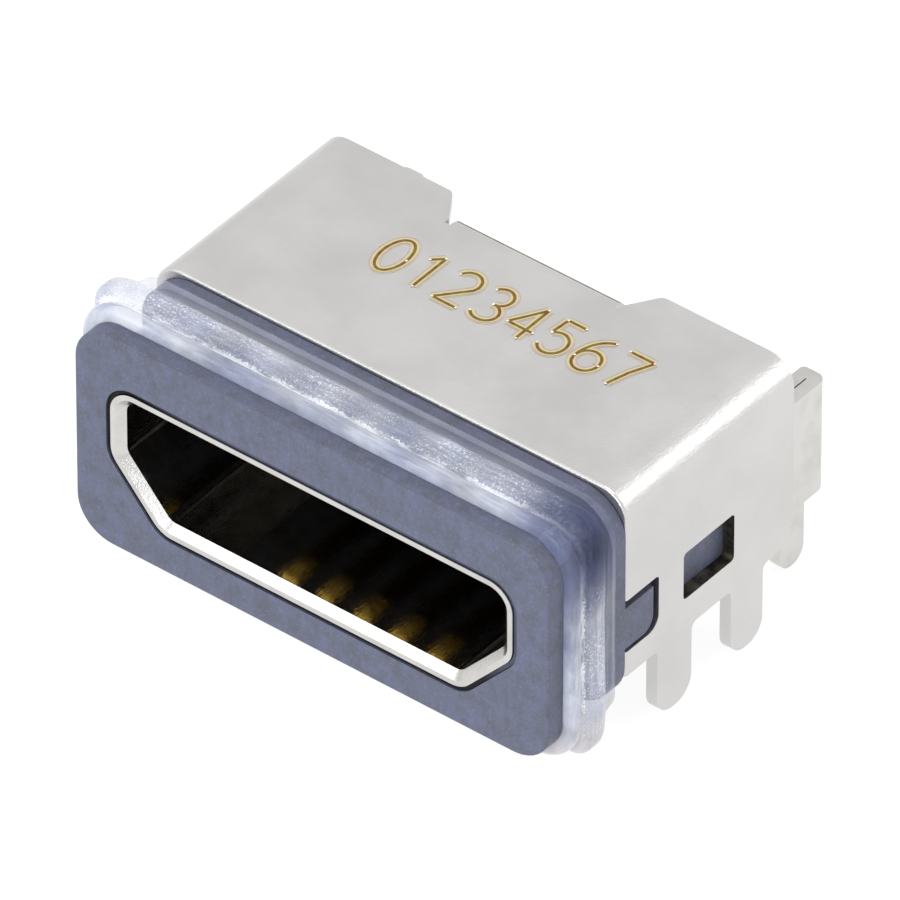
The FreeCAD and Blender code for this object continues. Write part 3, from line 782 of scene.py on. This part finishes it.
@dataclass
class Marking:
    """A row of plain digits in laser tint on the cover's roof.

    The shares are half widths over the stroke, and the lifts are heights over the roof.
    """

    digits: str = "01234567"
    start: tuple[float, float] = (-1.9, 3.62)
    height: float = 0.78
    pitch: float = 0.6
    roof: float = 2.0
    stroke: float = 0.042
    rim_reach: float = 1.9
    rim_share: float = 0.2
    halo_share: float = 1.3
    line_share: float = 0.56
    crater_share: float = 0.5
    crater_corners: int = 12
    rim_lift: float = 0.001
    halo_lift: float = 0.003
    line_lift: float = 0.005
    crater_lift: float = 0.007
    layer: float = 0.0002
    craters_a_layer: int = 8

    def build(self, finishes: Finishes) -> list[Any]:
        """Lay the tints over one another: thin outer rims, the halo, the stroke and the end craters.

        Args:
            finishes: The finishes.

        Returns:
            The four meshes.
        """
        reach = self.stroke * self.rim_reach
        rims = [(side * reach, self.stroke * self.rim_share) for side in (-1, 1)]
        halo = [(0.0, self.stroke * self.halo_share)]
        line = [(0.0, self.stroke * self.line_share)]
        return [
            self.row("marking_rim", rims, self.rim_lift, finishes.rim),
            self.row("marking_halo", halo, self.halo_lift, finishes.halo),
            self.row("marking_stroke", line, self.line_lift, finishes.mark),
            self.craters("marking_crater", self.crater_lift, finishes.crater),
        ]

    def row(self, name: str, rails: list[tuple[float, float]], lift: float, finish: Any) -> Any:
        """All digits as ribbons along their strokes.

        Each ribbon lies a little above the one before, so that no two share a plane.

        Args:
            name: Object name.
            rails: Sideways shift and half width of each ribbon along a stroke, in millimetres.
            lift: Height above the roof, in millimetres.
            finish: The tint.

        Returns:
            The mesh.
        """
        verts: list[np.ndarray] = []
        faces: list[np.ndarray] = []
        count = 0
        for place, digit in enumerate(self.digits):
            lines = [(line, shift, half) for line in stroke_lines(int(digit)) for shift, half in rails]
            for step, (line, shift, half) in enumerate(lines):
                ribbon = self.ribbon(line, shift, half)
                ribbon[..., 0] += self.start[0] + place * self.pitch
                ribbon[..., 1] += self.start[1]
                rows = len(ribbon)
                level = self.roof + lift + step * self.layer
                flat = np.concatenate([ribbon, np.full((rows, 2, 1), level)], axis=-1)
                first = count + 2 * np.arange(rows - 1)
                faces.append(np.stack([first, first + 1, first + 3, first + 2], axis=1))
                verts.append(flat.reshape(-1, 3))
                count += 2 * rows
        return mesh_piece(name, np.concatenate(verts) * MM, np.concatenate(faces), finish)

    def craters(self, name: str, lift: float, finish: Any) -> Any:
        """A bright dot where each stroke starts and where it ends, because the beam rested there.

        Args:
            name: Object name.
            lift: Height above the roof, in millimetres.
            finish: The bright metal.

        Returns:
            The mesh.
        """
        count = self.crater_corners
        turn = np.linspace(0, 2 * math.pi, count, endpoint=False)
        ring = np.stack([np.cos(turn), np.sin(turn), np.zeros(count)], axis=1)
        ring *= self.stroke * self.crater_share
        centres = []
        for place, digit in enumerate(self.digits):
            for line in stroke_lines(int(digit)):
                for end in (line[0], line[-1]):
                    x = self.start[0] + place * self.pitch + end[0] * self.height
                    y = self.start[1] + end[1] * self.height
                    rise = len(centres) * self.layer / self.craters_a_layer
                    centres.append((x, y, self.roof + lift + rise))
        verts = np.array(centres)[:, None, :] + ring[None, :, :]
        discs = count * np.arange(len(centres))[:, None] + np.arange(count)
        return mesh_piece(name, verts.reshape(-1, 3) * MM, discs, finish)

    def ribbon(self, line: np.ndarray, shift: float, half: float) -> np.ndarray:
        """Two rails beside a stroke.

        Each rail is the stroke moved sideways, along the normal of its own direction.

        Args:
            line: Points of the stroke on a digit 1 high.
            shift: Distance from the stroke to the ribbon's middle.
            half: Half the ribbon's width.

        Returns:
            For each point, its right and left rail.
        """
        path = line * self.height
        along = np.gradient(path, axis=0)
        along /= np.linalg.norm(along, axis=1)[:, None]
        side = np.stack([along[:, 1], -along[:, 0]], axis=1)
        return np.stack([path + side * (shift + half), path + side * (shift - half)], axis=1)


def arc(x: float, y: float, rx: float, ry: float, start: float, end: float, count: int = 24) -> np.ndarray:
    """Points of an elliptical arc: centre plus radii times cosine and sine of the angle.

    Args:
        x: Centre across.
        y: Centre up.
        rx: Radius across.
        ry: Radius up.
        start: First angle in degrees.
        end: Last angle in degrees.
        count: How many points.

    Returns:
        The points.
    """
    turn = np.radians(np.linspace(start, end, count))
    return np.stack([x + rx * np.cos(turn), y + ry * np.sin(turn)], axis=1)


def stroke_lines(digit: int) -> list[np.ndarray]:
    """The single-line strokes of a digit, 1 high and about 0.6 wide.

    Args:
        digit: 0 to 7.

    Returns:
        One array of points for each stroke.
    """
    shapes: dict[int, list[np.ndarray]] = {
        0: [arc(0.3, 0.5, 0.27, 0.5, 0, 360, 49)],
        1: [np.array([(0.12, 0.8), (0.34, 1.0)]), np.array([(0.34, 1.0), (0.34, 0.5), (0.34, 0.0)])],
        2: [
            np.concatenate([arc(0.3, 0.72, 0.26, 0.28, 160, -30), np.array([(0.03, 0.0)])]),
            np.array([(0.03, 0.0), (0.58, 0.0)]),
        ],
        3: [arc(0.29, 0.75, 0.24, 0.25, 150, -90), arc(0.29, 0.26, 0.28, 0.26, 90, -150)],
        4: [
            np.array([(0.44, 0.0), (0.44, 1.0)]),
            np.array([(0.44, 1.0), (0.02, 0.3)]),
            np.array([(0.02, 0.3), (0.6, 0.3)]),
        ],
        5: [
            np.array([(0.54, 1.0), (0.12, 1.0)]),
            np.array([(0.12, 1.0), (0.08, 0.56)]),
            arc(0.29, 0.32, 0.28, 0.32, 135, -150),
        ],
        6: [arc(0.31, 0.3, 0.27, 0.3, 0, 360, 40), arc(0.56, 0.3, 0.52, 0.72, 100, 180)],
        7: [np.array([(0.02, 1.0), (0.58, 1.0)]), np.array([(0.58, 1.0), (0.36, 0.5), (0.22, 0.0)])],
    }
    return shapes[digit]


@dataclass
class Socket:
    """The whole part: finishes on the CAD nodes and the pieces that stand for some of them.

    The window, bend, flap, lead-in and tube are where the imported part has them, and plug_ratio is the
    plug opening's height over its width. A lean is how far a face's normal points along one axis, which
    tells the walls from one another.
    """

    nodes: dict[str, Any]
    finishes: Finishes
    window_front: float = 3.12
    window_rear: float = 4.31
    window_low: float = -0.76
    window_high: float = 0.11
    bend_front: float = 5.1
    flap_half: float = 1.5
    lead_in: float = 0.13
    tube_rear: float = 5.0
    plug_ratio: float = 0.27
    punched_lean: float = 0.5
    bend_lean: tuple[float, float] = (0.4, 0.98)
    wall_lean: float = 0.3

    def dress(self) -> None:
        """Give every node its finish, in a smooth copy where its bends show."""
        plan = {
            "housing": (self.finishes.housing, "housing_plastic"),
            "inner_shell": (self.finishes.shell, "shell_steel"),
            "cover_shell": (self.finishes.cover, "cover_plate"),
            "shell_sealant": (self.finishes.sealant, "sealant"),
            "contact_carrier": (self.finishes.carrier, "carrier_plastic"),
            "rear_potting": (self.finishes.potting, "potting_resin"),
        }
        for index in range(1, 6):
            plan[f"contact_{index}"] = (self.finishes.gold, "gold_plate")
        for node, (finish, slot) in plan.items():
            piece = smooth_copy(self.nodes[node], f"{node}_body", finish)
            if node == "cover_shell":
                self.darken_cover(piece)
            if node == "inner_shell":
                self.smooth_bore(piece)
            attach(piece, BODY)
            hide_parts(node)
            LOG.info("%s dressed", node)

    def darken_cover(self, cover: Any) -> None:
        """Show bare bronze on the windows' punched edges, made darker as painted shade for the shade inside
        the windows, and give the faces of the flap's bend the same dark bronze.

        Args:
            cover: The cover's smooth copy.
        """
        cover.data.materials.append(self.finishes.punched)
        for face in cover.data.polygons:
            across, back, up = face.center / MM
            inside = self.window_front < back < self.window_rear and self.window_low < up < self.window_high
            edge = inside and abs(face.normal.x) < self.punched_lean
            flap = back > self.bend_front and abs(across) < self.flap_half
            bend = flap and self.bend_lean[0] < face.normal.y < self.bend_lean[1]
            # Painted shade: the window edges are darker than bare bronze for the shade inside the windows.
            if edge or bend:
                face.material_index = 1

    def smooth_bore(self, shell: Any) -> None:
        """Give the tube's inside its smooth finish: the faces behind the lead-in that look at its middle.

        Args:
            shell: The shell's smooth copy.
        """
        shell.data.materials.append(self.finishes.bore)
        for face in shell.data.polygons:
            back = face.center.y / MM
            outward = Vector((face.center.x * self.plug_ratio, 0.0, face.center.z))
            within = self.lead_in < back < self.tube_rear
            if within and face.normal.dot(outward) < 0 and abs(face.normal.y) < self.wall_lean:
                face.material_index = 1

    def add_ring(self) -> None:
        """Mould the silicone ring."""
        ring = SealRing().build(self.finishes.silicone)
        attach(ring, BODY)
        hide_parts("seal_ring")
        LOG.info("ring moulded")

    def add_marking(self) -> None:
        """Mark the roof."""
        for piece in Marking().build(self.finishes):
            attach(piece, BODY)
        LOG.info("roof marked")


@dataclass(frozen=True)
class Lamp:
    """A square soft light: its place and side in millimetres, its power in watts and its colour."""

    name: str
    place: Triple
    side: float
    power: float
    colour: Triple = (1.0, 1.0, 1.0)


@dataclass
class Studio:
    """Pale floor, soft lights and the long lens of a catalogue picture.

    The camera's azimuth and elevation are in degrees, and its clip distances in metres. It aims aim_px
    pixels right of and above the plug opening's middle, in a picture frame_px wide.
    """

    azimuth: float = 39.084
    elevation: float = 40.006
    distance: float = 283.86
    lens_mm: float = 800.0
    sensor_mm: float = 36.0
    aim_px: tuple[float, float] = (140.41, 99.4)
    frame_px: float = 900.0
    clip_m: tuple[float, float] = (0.02, 5.0)
    floor_z: float = -2.62
    floor_half: float = 400.0
    floor_tone: str = "6c6c6c"
    floor_glow: float = 0.9
    sky_strength: float = 0.95
    lit_point: Triple = (0.0, 3.0, 0.0)
    lamps: tuple[Lamp, ...] = (
        Lamp("bend", (84.0, 80.0, 66.0), 90.0, 0.03),
        Lamp("front", (10.0, -90.0, 20.0), 60.0, 0.054, (0.9, 0.95, 1.0)),
        Lamp("lip", (-58.0, -77.0, 71.0), 50.0, 0.0135),
        Lamp("top", (0.0, 3.0, 120.0), 60.0, 0.036),
    )

    def axes(self) -> tuple[Vector, Vector, Vector]:
        """Right, up and back directions of the camera.

        Returns:
            Three unit vectors.
        """
        a, e = math.radians(self.azimuth), math.radians(self.elevation)
        back = Vector((math.sin(a) * math.cos(e), -math.cos(a) * math.cos(e), math.sin(e)))
        right = Vector((0, 0, 1)).cross(back).normalized()
        return right, back.cross(right), back

    def camera(self) -> None:
        """Place the camera so that the picture's centre is aimed at, with no shift."""
        right, up, back = self.axes()
        focal_px = self.lens_mm / self.sensor_mm * self.frame_px
        place = back * self.distance * MM
        ahead = -back + right * (self.aim_px[0] / focal_px) + up * (self.aim_px[1] / focal_px)
        data = bpy.data.cameras.new("camera")
        data.lens = self.lens_mm
        data.sensor_width = self.sensor_mm
        data.clip_start, data.clip_end = self.clip_m
        camera = bpy.data.objects.new("camera", data)
        camera.location = place
        camera.rotation_euler = ahead.to_track_quat("-Z", "Y").to_euler()
        bpy.context.scene.collection.objects.link(camera)
        bpy.context.scene.camera = camera

    def light(self, lamp: Lamp) -> None:
        """Hang a lamp and aim it at the socket.

        Args:
            lamp: The lamp.
        """
        data = bpy.data.lights.new(lamp.name, "AREA")
        data.size = lamp.side * MM
        data.energy = lamp.power
        data.color = lamp.colour
        light = bpy.data.objects.new(lamp.name, data)
        light.location = Vector(lamp.place) * MM
        ahead = Vector(self.lit_point) * MM - light.location
        light.rotation_euler = ahead.to_track_quat("-Z", "Y").to_euler()
        bpy.context.scene.collection.objects.link(light)

    def floor(self) -> None:
        """Lay the floor: a pale sheet that glows a little, so that it stays nearly white."""
        corners = np.array([(-1.0, -1.0, 0.0), (1.0, -1.0, 0.0), (1.0, 1.0, 0.0), (-1.0, 1.0, 0.0)])
        corners *= self.floor_half * MM
        corners[:, 2] = self.floor_z * MM
        white = NodeSheet("pale_floor").finish(
            Base_Color=srgb(self.floor_tone),
            Roughness=0.9,
            Emission_Color=srgb("ffffff"),
            Emission_Strength=self.floor_glow,
        )
        floor = mesh_piece("floor", corners, np.array([[0, 1, 2, 3]]), white)

    def sky(self) -> None:
        """Surround the scene with plain white."""
        world = bpy.data.worlds.new("studio_white")
        world.use_nodes = True
        background = world.node_tree.nodes["Background"]
        background.inputs["Color"].default_value = srgb("ffffff")
        background.inputs["Strength"].default_value = self.sky_strength
        bpy.context.scene.world = world
        bpy.context.scene.view_settings.view_transform = "Standard"

    def build(self) -> None:
        """Set the floor, the lights, the sky and the camera."""
        self.floor()
        for lamp in self.lamps:
            self.light(lamp)
        self.sky()
        self.camera()


def main() -> None:
    """Build the studio and the socket."""
    logging.basicConfig(level=logging.INFO)
    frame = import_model()
    Studio().build()
    socket = Socket(frame["nodes"], Finishes())
    socket.dress()
    socket.add_ring()
    socket.add_marking()
    bpy.context.view_layer.update()


if __name__ == "__main__":
    main()
